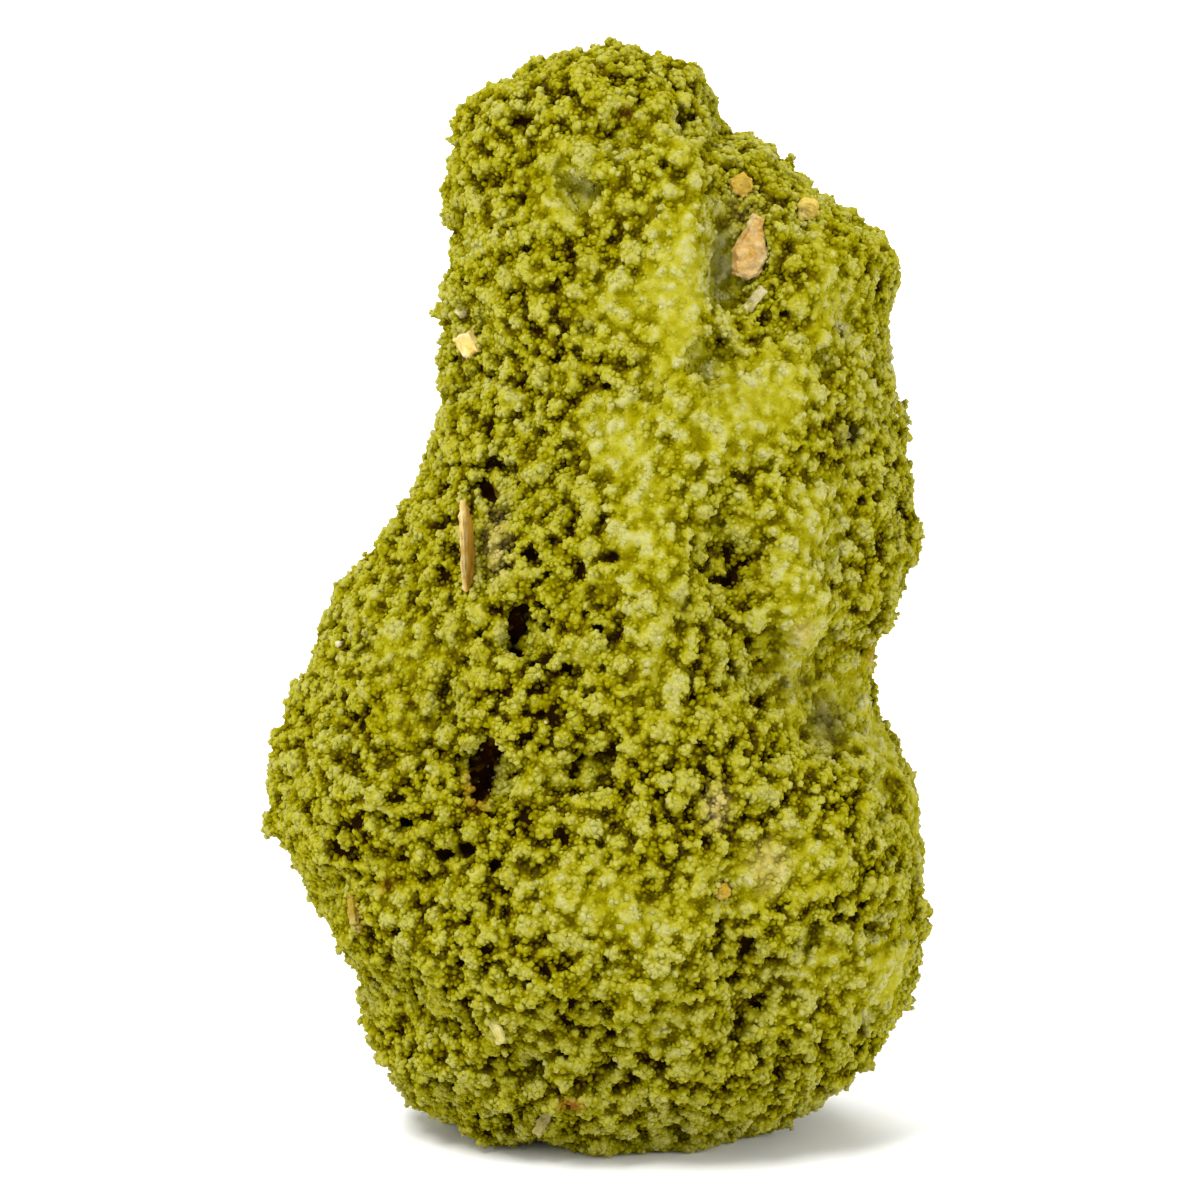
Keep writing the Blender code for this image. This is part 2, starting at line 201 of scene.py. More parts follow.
# Small pale specks of the front: x and height, size, in millimetres.
SPECKS_FRONT = [
    (2.0, 2.0, 0.42), (15.8, 55.5, 0.50), (-9.1, 56.6, 0.80), (-3.5, 31.0, 0.40),
    (9.7, 67.8, 0.34), (-2.4, 9.1, 0.36), (-7.7, 28.5, 0.24), (-7.3, 27.3, 0.20),
    (-6.9, 26.7, 0.24), (-7.9, 26.4, 0.18), (-7.2, 25.9, 0.22), (-6.6, 27.9, 0.16),
]
SPECK_SEED = 23
SPECKS_AROUND = 26


def collection_object(name, mesh):
    made = bpy.data.objects.new(name, mesh)
    bpy.context.scene.collection.objects.link(made)
    return made


def unit(vectors):
    return vectors / np.maximum(np.linalg.norm(vectors, axis=1, keepdims=True), 1e-20)


def mesh_arrays(mesh):
    """Vertices, triangles and vertex normals of a mesh, as arrays. The normals are summed
    here, always in the same order, so that each run gives the same crust."""
    verts = np.empty(len(mesh.vertices) * 3)
    mesh.vertices.foreach_get("co", verts)
    verts = verts.reshape(-1, 3)
    mesh.calc_loop_triangles()
    faces = np.empty(len(mesh.loop_triangles) * 3, dtype=np.int64)
    mesh.loop_triangles.foreach_get("vertices", faces)
    faces = faces.reshape(-1, 3)
    corners = verts[faces]
    across = np.cross(corners[:, 1] - corners[:, 0], corners[:, 2] - corners[:, 0])
    sums = [np.bincount(faces.ravel(), np.repeat(across[:, axis], 3), len(verts))
            for axis in range(3)]
    return verts, faces, unit(np.stack(sums, axis=1))


def mesh_from_arrays(name, verts, faces):
    """A triangle mesh, made in bulk because it is large."""
    mesh = bpy.data.meshes.new(name)
    mesh.vertices.add(len(verts))
    mesh.vertices.foreach_set("co", verts.astype(np.float32).ravel())
    mesh.loops.add(faces.size)
    mesh.loops.foreach_set("vertex_index", faces.astype(np.int32).ravel())
    mesh.polygons.add(len(faces))
    starts = np.arange(0, faces.size, 3, dtype=np.int32)
    mesh.polygons.foreach_set("loop_start", starts)
    mesh.update(calc_edges=True)
    mesh.shade_smooth()
    return mesh


def set_attribute(mesh, name, values):
    layer = mesh.attributes.new(name, "FLOAT", "POINT")
    layer.data.foreach_set("value", values.astype(np.float32))


def evaluated_mesh(source, name, *modifiers):
    """A mesh after a row of modifiers, each given as its kind and its settings."""
    copy = collection_object(name, source)
    for kind, settings in modifiers:
        modifier = copy.modifiers.new(kind, kind)
        for key, value in settings.items():
            setattr(modifier, key, value)
    graph = bpy.context.evaluated_depsgraph_get()
    mesh = bpy.data.meshes.new_from_object(copy.evaluated_get(graph))
    bpy.data.objects.remove(copy, do_unlink=True)
    return mesh


def sample_surface(verts, faces, normals, extra, count, draw):
    """Random points on the surface with their normals and blended vertex values."""
    corners = verts[faces]
    area = np.linalg.norm(np.cross(corners[:, 1] - corners[:, 0],
                                   corners[:, 2] - corners[:, 0]), axis=1)
    chosen = draw.choice(len(faces), count, p=area / area.sum())
    u, v = draw.random(count), draw.random(count)
    over = u + v > 1
    u[over], v[over] = 1 - u[over], 1 - v[over]
    share = np.stack([1 - u - v, u, v], axis=1)[:, :, None]
    face = faces[chosen]
    points = (corners[chosen] * share).sum(axis=1)
    facing = unit((normals[face] * share).sum(axis=1))
    blended = (extra[face] * share).sum(axis=1)
    return points, facing, blended


def build_tree(points):
    tree = KDTree(len(points))
    for index, point in enumerate(points):
        tree.insert(point, index)
    tree.balance()
    return tree


def thin_out(points, spacing):
    """Indices of points that keep their own spacing from each other."""
    tree = build_tree(points)
    free = bytearray(b"\x01") * len(points)
    kept = []
    for index in range(len(points)):
        if free[index]:
            kept.append(index)
            for _place, other, _distance in tree.find_range(points[index], spacing[index]):
                free[other] = 0
    return np.array(kept)


def noise_at(points, scale, shift=0.0):
    """Smooth noise from -1 to 1 at each point."""
    offset = Vector((shift, -shift, 2 * shift))
    return np.array([noise.noise(Vector(point) / scale + offset) for point in points])


def front_spots(points, spots):
    """The strongest of some oval spots of the front at each point. Each spot is given by
    its x and height, its radii in millimetres and its strength."""
    x, z = points[:, 0] / MM, points[:, 2] / MM
    found = np.zeros(len(points))
    for cx, cz, across, up, strength in spots:
        spot = strength * np.exp(-((x - cx) / across) ** 2 - ((z - cz) / up) ** 2)
        found = np.maximum(found, spot)
    return np.where(points[:, 1] < 0, found, 0.0)


def holes_at(points):
    """1 inside the open holes of the front, 0 outside."""
    spots = [(x, z, across, up, 1.0) for x, z, across, up in HOLES_FRONT]
    return np.clip((front_spots(points, spots) - 0.30) * 4.0, 0.0, 1.0)


def worn_at(points, normals):
    """How worn and dusty the surface is at each point, from 0 to 1."""
    front = np.clip(-normals[:, 1] * 2.0 + 0.3, 0.0, 1.0)
    worn = front_spots(points, WORN_FRONT) * front
    patches = noise_at(points, 7.0 * MM, 3.7) * 0.7 + noise_at(points, 3.0 * MM, 9.1) * 0.3
    broad = np.clip((patches - 0.10) * 2.2, 0.0, 0.8)
    right = np.clip(0.35 + points[:, 0] / (30 * MM), 0.15, 1.0)
    return np.clip(worn + broad * right, 0.0, 1.0)


def porous_at(points):
    """Share of the possible pits that are open at each point, from 0 to 1."""
    front = np.maximum(front_spots(points, POROUS_FRONT), POROUS_LEAST)
    return np.where(points[:, 1] < 0, front, POROUS_BACK)


def flake_distance(points, flakes):
    """Distance of each point from the nearest embedded piece."""
    nearest = np.full(len(points), 1.0)
    margin = 2.0 * MM
    for flake in flakes:
        shape = bmesh.new()
        shape.from_mesh(flake.data)
        tree = BVHTree.FromBMesh(shape)
        shape.free()
        low, high = (np.array(corner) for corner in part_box(flake.name))
        near = np.where(np.all((points > low - margin) & (points < high + margin), axis=1))[0]
        for index in near:
            hit = tree.find_nearest(Vector(points[index]))
            if hit[0] is not None:
                nearest[index] = min(nearest[index], hit[3])
    return nearest


def front_point(tree, x, z):
    """The foremost point of the base surface at x and a height, in millimetres."""
    place, facing, _face, _distance = tree.ray_cast(Vector((x, -60.0, z)) * MM,
                                                    Vector((0.0, 1.0, 0.0)))
    return place, facing


def pit_depth_at(points, faces, normals, worn, base_tree):
    """How deep the scattered small pits are at each point."""
    draw = np.random.default_rng(PIT_SEED)
    centres, _, blended = sample_surface(points, faces, normals, worn[:, None],
                                         PIT_CANDIDATES, draw)
    spacing = draw.uniform(*PIT_SPACING, len(centres))
    kept = thin_out(centres, spacing)
    porous = porous_at(centres[kept])
    kept = kept[draw.random(len(kept)) < porous * (1 - 1.4 * blended[kept, 0])]
    radius = draw.uniform(*PIT_RADIUS, len(kept))
    depth = PIT_DEPTH * draw.uniform(0.4, 1.0, len(kept))
    pits = list(zip(centres[kept], radius, depth))
    pits += [(front_point(base_tree, x, z)[0], size * MM, PIT_DEPTH)
             for x, z, size in PITS_FRONT]
    tree = build_tree(points)
    sunk = np.zeros(len(points))
    for place, reach, deep in pits:
        for _place, index, distance in tree.find_range(place, reach * 1.6):
            sunk[index] = max(sunk[index], deep * math.exp(-(distance / reach) ** 4))
    return np.maximum(sunk, holes_at(points) * HOLE_DEPTH)


def crumb_solid():
    """A low solid of eight faces, as arrays: a small triangle on top, a larger one below."""
    shape = bmesh.new()
    for reach, height, turn in ((0.62, 0.55, 0.0), (1.0, -0.40, math.pi / 3)):
        for corner in range(3):
            angle = turn + 2 * math.pi * corner / 3
            shape.verts.new((reach * math.cos(angle), reach * math.sin(angle), height))
    bmesh.ops.convex_hull(shape, input=shape.verts)
    return taken_arrays(shape)


def grain_solid():
    """A ball of twenty faces, as arrays."""
    shape = bmesh.new()
    bmesh.ops.create_icosphere(shape, subdivisions=1, radius=1.0)
    return taken_arrays(shape)


def taken_arrays(shape):
    """The vertices and triangles of a bmesh, which is then freed."""
    verts = np.array([vert.co for vert in shape.verts])
    faces = np.array([[vert.index for vert in face.verts] for face in shape.faces])
    shape.free()
    return verts, faces


def random_turns(count, draw):
    """Random rotation matrices from random unit quaternions."""
    q = unit(draw.normal(size=(count, 4)))
    w, x, y, z = q.T
    return np.stack([
        np.stack([1 - 2 * (y * y + z * z), 2 * (x * y - z * w), 2 * (x * z + y * w)], axis=1),
        np.stack([2 * (x * y + z * w), 1 - 2 * (x * x + z * z), 2 * (y * z - x * w)], axis=1),
        np.stack([2 * (x * z - y * w), 2 * (y * z + x * w), 1 - 2 * (x * x + y * y)], axis=1),
    ], axis=1)


def turns_upright(facing, tilt, draw):
    """Rotation matrices that stand a solid on the surface, tilted and spun at random."""
    up = unit(facing + tilt * draw.normal(size=facing.shape))
    side = unit(np.cross(draw.normal(size=facing.shape), up))
    return np.stack([side, np.cross(up, side), up], axis=2)


def make_knobs(verts, faces, normals, draw):
    """Centres, radii and heights of the knobs."""
    extra = np.zeros((len(verts), 1))
    points, _, _ = sample_surface(verts, faces, normals, extra, KNOB_CANDIDATES, draw)
    spacing = draw.uniform(*KNOB_SPACING, len(points))
    kept = thin_out(points, spacing)
    centres = points[kept]
    radius = np.clip(spacing[kept] * draw.uniform(0.57, 0.76, len(kept)), *KNOB_RADIUS)
    lift = draw.uniform(-1.0, 1.0, len(kept)) * KNOB_LIFT
    return centres, radius, lift


def crust_height(points, worn, knobs):
    """Height of the crust above its floor at each point of the base surface."""
    centres, radius, lift = knobs
    tree = build_tree(centres)
    scaled = [Vector(point) / KNOB_WARP_SCALE for point in points]
    warp = np.array([noise.noise_vector(place) for place in scaled]) * KNOB_WARP
    found = [tree.find_n(place, 4) for place in points + warp]
    index = np.array([[hit[1] for hit in hits] for hits in found])
    distance = np.array([[hit[2] for hit in hits] for hits in found])
    size = radius[index]
    dome = np.sqrt(np.clip(1.0 - (distance / size) ** 2, 0.0, 1.0)) * size * KNOB_HEIGHT
    dome = dome + np.where(dome > 0, lift[index] * np.clip(dome / size * 2, 0, 1), 0.0)
    height = dome.max(axis=1)
    flat = WORN_FLATTENS * worn
    return height * (1 - flat) + CRUST_LEVEL * flat


def place_grains(verts, faces, normals, values, draw):
    """Centres and radii of the small grains all over the knobs and between them."""
    points, facing, blended = sample_surface(verts, faces, normals, values,
                                             GRAIN_CANDIDATES, draw)
    rise, worn, clear = blended.T
    spacing = draw.uniform(*GRAIN_SPACING, len(points)) * (1 - 0.12 * worn)
    wanted = (clear > 0.2) & ((rise > 0.15) | (draw.random(len(points)) < 0.35))
    index = np.where(wanted)[0]
    kept = index[thin_out(points[index], spacing[index])]
    radius = spacing[kept] * GRAIN_FILL * draw.uniform(0.85, 1.15, len(kept))
    sink = draw.uniform(-0.30, 0.60, len(kept)) - 0.45 * worn[kept]
    sink += 0.9 * (1 - clear[kept])
    return points[kept] + facing[kept] * (radius * sink)[:, None], radius


def grain_points(ball, radii, turns, jitter, stretch, draw):
    """Vertices of uneven, turned copies of a small solid, about their own centres."""
    count = len(radii)
    bumps = 1 + draw.uniform(-jitter, jitter, (count, len(ball), 1))
    scale = draw.uniform(*stretch, (count, 1, 3))
    local = np.einsum("nij,nvj->nvi", turns, ball[None] * bumps * scale)
    return local * radii[:, None, None]


def join_grains(core_verts, core_faces, centres, radii, draw):
    """One mesh of the crust's floor and all the grains, still overlapping."""
    ball, ball_faces = grain_solid()
    turns = random_turns(len(radii), draw)
    local = grain_points(ball, radii, turns, GRAIN_JITTER, GRAIN_STRETCH, draw)
    centres[:, 2] = np.maximum(centres[:, 2], radii * 0.9)
    grain_verts = centres[:, None] + local
    first = len(core_verts) + np.arange(len(radii)) * len(ball)
    grain_faces = ball_faces[None] + first[:, None, None]
    verts = np.concatenate([core_verts, grain_verts.reshape(-1, 3)])
    faces = np.concatenate([core_faces, grain_faces.reshape(-1, 3)])
    return mesh_from_arrays("loose_crust", verts, faces)


def build_crumbs(verts, faces, normals, attributes):
    """The finest grains, scattered over the fused crust and half sunk in it."""
    draw = np.random.default_rng(CRUMB_SEED)
    keys = list(attributes)
    values = np.stack(list(attributes.values()), axis=1)
    points, facing, blended = sample_surface(verts, faces, normals, values,
                                             CRUMB_CANDIDATES, draw)
    found = dict(zip(keys, blended.T))
    rise, worn, painted_shade_and_highlight = found["rise"], found["worn"], found["painted_shade_and_highlight"]
    spacing = draw.uniform(*CRUMB_SPACING, len(points))
    wanted = (rise > CRUMB_LEAST_RISE) & (found["clear"] > 0.02) & (points[:, 2] > 0.25 * MM)
    wanted &= holes_at(points) < 0.3
    index = np.where(wanted)[0]
    kept = index[thin_out(points[index], spacing[index])]
    kept = kept[:CRUMB_LIMIT]
    ball, ball_faces = crumb_solid()
    radii = spacing[kept] * CRUMB_FILL * draw.uniform(0.85, 1.15, len(kept))
    turns = turns_upright(facing[kept], CRUMB_TILT, draw)
    local = grain_points(ball, radii, turns, CRUMB_JITTER, CRUMB_STRETCH, draw)
    sink = draw.uniform(-0.35, 0.20, len(kept)) - 0.40 * worn[kept]
    sink += CRUMB_OVER_FLAKE * (1 - found["clear"][kept])
    centre = points[kept] + facing[kept] * (radii * sink)[:, None]
    centre[:, 2] = np.maximum(centre[:, 2], radii)
    outward = np.einsum("nvi,ni->nv", local, facing[kept]) / radii[:, None]
    crumb = {key: np.repeat(found[key][kept][:, None], len(ball), axis=1) for key in keys}
    # Painted highlight on each crumb's top and painted shade on its sides, less on worn ground.
    painted_tip_light_and_side_shade = 0.28 * (1 - 0.6 * worn[kept][:, None])
    crumb |= {"rise": rise[kept][:, None] + 0.05 * outward,
              "painted_shade_and_highlight": 0.07 + 0.80 * painted_shade_and_highlight[kept][:, None] + painted_tip_light_and_side_shade * outward
              + draw.uniform(-0.05, 0.05, (len(kept), 1))}
    order = np.argsort(centre[:, 2], kind="stable")
    pieces = math.ceil(len(kept) / CRUMBS_PER_PIECE)
    made = []
    for number, part in enumerate(np.array_split(order, pieces), start=1):
        name = f"crumbs_{number}"
        first = np.arange(len(part)) * len(ball)
        part_faces = ball_faces[None] + first[:, None, None]
        part_verts = centre[part][:, None] + local[part]
        mesh = mesh_from_arrays(name, part_verts.reshape(-1, 3), part_faces.reshape(-1, 3))
        for key, numbers in crumb.items():
            set_attribute(mesh, key, np.clip(numbers[part], 0.0, 1.0).ravel())
        made.append(collection_object(name, mesh))
    return made


def neighbour_lists(count, faces):
    """For each vertex, where its own neighbours start in one long list of them."""
    a = np.concatenate([faces[:, 0], faces[:, 1], faces[:, 2]])
    b = np.concatenate([faces[:, 1], faces[:, 2], faces[:, 0]])
    ends = np.concatenate([a, b])
    others = np.concatenate([b, a])
    order = np.argsort(ends, kind="stable")
    starts = np.searchsorted(ends[order], np.arange(count))
    return others[order], starts


def biggest_part(verts, faces):
    """Leaves out closed-in hollows and loose bits: keeps the largest connected body."""
    others, starts = neighbour_lists(len(verts), faces)
    label = np.arange(len(verts))
    while True:
        least = np.minimum(np.minimum.reduceat(label[others], starts), label)
        new = least.copy()
        np.minimum.at(new, label, least)
        new = new[new]
        if np.array_equal(new, label):
            break
        label = new
    names, counts = np.unique(label, return_counts=True)
    keep = label == names[counts.argmax()]
    number = np.cumsum(keep) - 1
    kept_faces = number[faces[keep[faces[:, 0]]]]
    return verts[keep], kept_faces


def neighbour_mean(values, faces, steps):
    """Values at each vertex, averaged with the vertices next to it, some steps over."""
    others, starts = neighbour_lists(len(values), faces)
    count = np.diff(np.append(starts, len(others)))[:, None]
    for _ in range(steps):
        values = np.add.reduceat(values[others], starts, axis=0) / count
    return values


def split_in_slabs(verts, faces, normals, attributes):
    """The crust in closed slabs, one above the other, each closed by a cone of faces to a
    point inside."""
    height = verts[faces].mean(axis=1)[:, 2]
    edges = np.quantile(height, np.linspace(0, 1, CRUST_PIECES + 1)[1:-1])
    slab = np.searchsorted(edges, height)
    apex = [np.append(verts[np.abs(verts[:, 2] - edge) < 0.3 * MM][:, :2].mean(axis=0), edge)
            for edge in edges]
    total = len(verts)
    verts = np.concatenate([verts, apex])
    normals = np.concatenate([normals, np.tile([[0.0, 0.0, 1.0]], (len(apex), 1))])
    edge_a = faces[:, [0, 1, 2]].ravel()
    edge_b = faces[:, [1, 2, 0]].ravel()
    edge_slab = np.repeat(slab, 3)
    key = np.minimum(edge_a, edge_b) * total + np.maximum(edge_a, edge_b)
    order = np.argsort(key, kind="stable")
    pairs = order.reshape(-1, 2)
    crossing = pairs[edge_slab[pairs[:, 0]] != edge_slab[pairs[:, 1]]]
    made = []
    for number in range(CRUST_PIECES):
        own = [faces[slab == number]]
        for column, other in ((0, 1), (1, 0)):
            mine = crossing[edge_slab[crossing[:, column]] == number]
            level = np.minimum(edge_slab[mine[:, 0]], edge_slab[mine[:, 1]])
            edge = mine[:, column]
            own.append(np.stack([edge_b[edge], edge_a[edge], total + level], axis=1))
        own = np.concatenate(own)
        used, own = np.unique(own, return_inverse=True)
        own = own.reshape(-1, 3)
        mesh = mesh_from_arrays(f"crust_{number + 1}", verts[used], own)
        mesh.normals_split_custom_set_from_vertices(normals[used])
        for name, values in attributes.items():
            set_attribute(mesh, name, np.append(values, [0.5] * len(apex))[used])
        made.append(collection_object(f"crust_{number + 1}", mesh))
    return made


def build_crust(base, flakes):
    verts, faces, normals = mesh_arrays(base)
    worn = worn_at(verts, normals)
    clear = np.clip(flake_distance(verts, flakes) / FLAKE_REACH, 0.0, 1.0)
    base_tree = BVHTree.FromPolygons(verts.tolist(), faces.tolist())
    pit = pit_depth_at(verts, faces, normals, worn, base_tree)
    draw = np.random.default_rng(KNOB_SEED)
    height = crust_height(verts, worn, make_knobs(verts, faces, normals, draw))
    height = height * (1 - holes_at(verts)) - pit
    height = height + FILL_HEIGHT * front_spots(verts, FILLS_FRONT)
    height = height * clear + FLAKE_LEVEL * (1 - clear)
    at_floor = np.clip(verts[:, 2] / (1.2 * MM), 0.0, 1.0)
    core_verts = verts + normals * ((height - CRUST_DEPTH) * at_floor)[:, None]
    core_verts[:, 2] = np.maximum(core_verts[:, 2], 0.0)
    core = mesh_from_arrays("core", core_verts, faces)
    core_verts, core_faces, core_normals = mesh_arrays(core)
    draw = np.random.default_rng(GRAIN_SEED)
    values = np.stack([height / CRUST_LEVEL, worn, clear], axis=1)
    centres, radii = place_grains(core_verts, core_faces, core_normals, values, draw)
    loose = join_grains(core_verts, faces, centres, radii, draw)
    fused = evaluated_mesh(loose, "loose_crust",
                           ("REMESH", {"mode": "VOXEL", "voxel_size": CRUST_VOXEL}),
                           ("TRIANGULATE", {}))
    crust_verts, crust_faces, _ = mesh_arrays(fused)
    crust_verts, crust_faces = biggest_part(crust_verts, crust_faces)
    if len(crust_faces) > CRUST_TRIANGLES:
        whole = mesh_from_arrays("fused_crust", crust_verts, crust_faces)
        share = CRUST_TRIANGLES / len(crust_faces)
        whole = evaluated_mesh(whole, "fused_crust",
                               ("DECIMATE", {"ratio": share, "use_collapse_triangulate": True}))
        crust_verts, crust_faces, _ = mesh_arrays(whole)
    crust_verts[:, 2] = np.maximum(crust_verts[:, 2], 0.02 * MM)
    whole = mesh_from_arrays("crust", crust_verts, crust_faces)
    crust_verts, crust_faces, crust_normals = mesh_arrays(whole)

    rise = np.empty(len(crust_verts))
    nearest = np.empty(len(crust_verts), dtype=np.int64)
    for index, point in enumerate(crust_verts.tolist()):
        place, facing, face, _distance = base_tree.find_nearest(point)
        rise[index] = (Vector(point) - place).dot(facing)
        nearest[index] = face
    # Painted shade and highlight: the crust's height over its neighbours' mean goes dark in
    # creases and pale on grain tips.
    painted_shade_and_highlight = rise - neighbour_mean(rise[:, None], crust_faces, CAVITY_STEPS)[:, 0]
    low, high = RISE_RANGE
    rise = np.clip((rise - low) / (high - low), 0.0, 1.0)
    worn_there = worn[faces[nearest]].mean(axis=1)
    attributes = {"rise": rise, "worn": worn_there,
                  "painted_shade_and_highlight": np.clip(0.5 + 0.5 * painted_shade_and_highlight / CAVITY_DEPTH, 0.0, 1.0),
                  "clear": clear[faces[nearest]].mean(axis=1)}
    for kind in ("dark", "rust", "tan"):
        spots = [spot[1:] for spot in STAINS_FRONT if spot[0] == kind]
        attributes[kind] = front_spots(crust_verts, spots)
    attributes["rust"] = np.maximum(attributes["rust"], 0.75 * holes_at(crust_verts))
    crumbs = build_crumbs(crust_verts, crust_faces, crust_normals, attributes)
    # Painted shade on the crust between the crumbs, less on worn ground.
    shade = CREASE_SHADE * np.clip((rise - 0.2) * 4, 0.0, 1.0) * (1 - 0.5 * worn_there)
    attributes["painted_shade_and_highlight"] = np.clip(attributes["painted_shade_and_highlight"] - shade, 0.0, 1.0)
    crust_tree = BVHTree.FromPolygons(crust_verts.tolist(), crust_faces.tolist())
    specks = build_specks(crust_tree)
    return split_in_slabs(crust_verts, crust_faces, crust_normals, attributes) + crumbs, specks


def build_specks(crust_tree):
    """Small pale specks stuck in the crust, as one joined piece."""
    draw = np.random.default_rng(SPECK_SEED)
    spots = [(*front_point(crust_tree, x, z), size) for x, z, size in SPECKS_FRONT]
    for _ in range(SPECKS_AROUND):
        turn, z = draw.uniform(-20, 200), draw.uniform(6.0, 66.0)
        way = Vector((math.cos(math.radians(turn)), math.sin(math.radians(turn)), 0.0))
        start = Vector((0.0, 0.0, z * MM)) + way * 60 * MM
        place, facing, _face, _distance = crust_tree.ray_cast(start, -way)
        if place is not None:
            spots.append((place, facing, draw.uniform(0.28, 0.55)))
    centres = np.array([place + facing * size * 0.12 * MM for place, facing, size in spots])
    radii = np.array([size * MM / 2 for _place, _facing, size in spots])
    ball, ball_faces = grain_solid()
    turns = random_turns(len(radii), draw)
    local = grain_points(ball, radii, turns, 0.25, (0.6, 1.35), draw)
    verts = (centres[:, None] + local).reshape(-1, 3)
    faces = ball_faces[None] + (np.arange(len(radii)) * len(ball))[:, None, None]
    mesh = mesh_from_arrays("specks", verts, faces.reshape(-1, 3))
    return collection_object("specks", mesh)


class Nodes:
    """Short calls for the nodes of one material."""

    def __init__(self, name, roughness):
        self.material = bpy.data.materials.new(name)
        self.material.use_nodes = True
        self.tree = self.material.node_tree
        self.shader = self.tree.nodes["Principled BSDF"]
        self.shader.inputs["Roughness"].default_value = roughness
        self.shader.inputs["Specular IOR Level"].default_value = 0.0

    def add(self, kind, **settings):
        node = self.tree.nodes.new(kind)
        for key, value in settings.items():
            setattr(node, key, value)
        return node

    def link(self, source, target):
        self.tree.links.new(source, target)

    def attribute(self, name):
        return self.add("ShaderNodeAttribute", attribute_name=name).outputs["Fac"]

    def place(self):
        return self.add("ShaderNodeTexCoord").outputs["Object"]

    def noise(self, scale, detail=3.0, roughness=0.55):
        node = self.add("ShaderNodeTexNoise")
        node.inputs["Scale"].default_value = scale
        node.inputs["Detail"].default_value = detail
        node.inputs["Roughness"].default_value = roughness
        self.link(self.place(), node.inputs["Vector"])
        return node.outputs["Fac"]

    def math(self, operation, first, second):
        node = self.add("ShaderNodeMath", operation=operation)
        for socket, value in zip(node.inputs, (first, second)):
            if isinstance(value, (int, float)):
                socket.default_value = value
            else:
                self.link(value, socket)
        return node.outputs[0]

    def total(self, *values):
        result = values[0]
        for value in values[1:]:
            result = self.math("ADD", result, value)
        return result

    def spread(self, value, low, high, to_low=0.0, to_high=1.0):
        node = self.add("ShaderNodeMapRange")
        node.inputs["From Min"].default_value = low
        node.inputs["From Max"].default_value = high
        node.inputs["To Min"].default_value = to_low
        node.inputs["To Max"].default_value = to_high
        self.link(value, node.inputs["Value"])
        return node.outputs["Result"]

    def ramp(self, value, stops):
        node = self.add("ShaderNodeValToRGB")
        band = node.color_ramp
        while len(band.elements) < len(stops):
            band.elements.new(0.5)
        for element, (place, colour) in zip(band.elements, stops):
            element.position = place
            element.color = (*colour, 1.0)
        self.link(value, node.inputs["Fac"])
        return node.outputs["Color"]

    def mix(self, share, first, second, blend="MIX"):
        node = self.add("ShaderNodeMix", data_type="RGBA", blend_type=blend)
        for socket, value in ((node.inputs[0], share), (node.inputs[6], first),
                              (node.inputs[7], second)):
            if isinstance(value, (int, float)):
                socket.default_value = value
            elif isinstance(value, tuple):
                socket.default_value = (*value, 1.0)
            else:
                self.link(value, socket)
        return node.outputs[2]

    def bump(self, height, strength, distance):
        node = self.add("ShaderNodeBump")
        node.inputs["Strength"].default_value = strength
        node.inputs["Distance"].default_value = distance
        self.link(height, node.inputs["Height"])
        self.link(node.outputs["Normal"], self.shader.inputs["Normal"])

    def colour(self, value):
        self.link(value, self.shader.inputs["Base Color"])


# Colours of each embedded piece: ground, streaks, stains, and where the stains start
# and are full along x, if they are on one side only.
FLAKE_COLOURS = {
    "flake_large": ((0.52, 0.36, 0.15), (0.40, 0.22, 0.035), (0.56, 0.48, 0.25)),
    "flake_upper": ((0.44, 0.29, 0.05), (0.36, 0.24, 0.03), (0.55, 0.42, 0.15)),
    "flake_shoulder": ((0.55, 0.41, 0.10), (0.42, 0.30, 0.05), (0.56, 0.48, 0.22)),
    "flake_left": ((0.64, 0.48, 0.18), (0.50, 0.35, 0.06), (0.68, 0.57, 0.32)),
    "blade_left": ((0.56, 0.45, 0.20), (0.44, 0.30, 0.08), (0.30, 0.16, 0.015),
                   (-0.00880, -0.00845)),
    "lath_brown": ((0.30, 0.22, 0.03), (0.24, 0.15, 0.006), (0.40, 0.32, 0.10)),
    "grain_amber": ((0.36, 0.22, 0.012), (0.26, 0.15, 0.004), (0.45, 0.33, 0.06)),
    "lath_base": ((0.36, 0.31, 0.12), (0.27, 0.22, 0.05), (0.44, 0.40, 0.22)),
    "lath_valley": ((0.42, 0.37, 0.18), (0.26, 0.22, 0.07), (0.50, 0.46, 0.30)),
    "lath_low": ((0.48, 0.42, 0.16), (0.34, 0.29, 0.06), (0.56, 0.52, 0.32)),
}
SPECK_COLOURS = ((0.52, 0.45, 0.22), (0.34, 0.28, 0.09), (0.60, 0.55, 0.38))
TAN_DUST = (0.520, 0.400, 0.160)
RUST = (0.230, 0.060, 0.006)
SOOT = (0.110, 0.095, 0.035)
# The crust's colours from low to high: painted shadow in the pits, painted shade in the
# creases, the olive and yellow clay, and dust that is also painted highlight on grain tips.
PIT_SHADOW = (0.014, 0.006, 0.001)
SHADED_OLIVE = (0.115, 0.088, 0.001)
OLIVE = (0.250, 0.227, 0.001)
YELLOW = (0.350, 0.325, 0.022)
DUST_AND_HIGHLIGHT = (0.430, 0.412, 0.165)


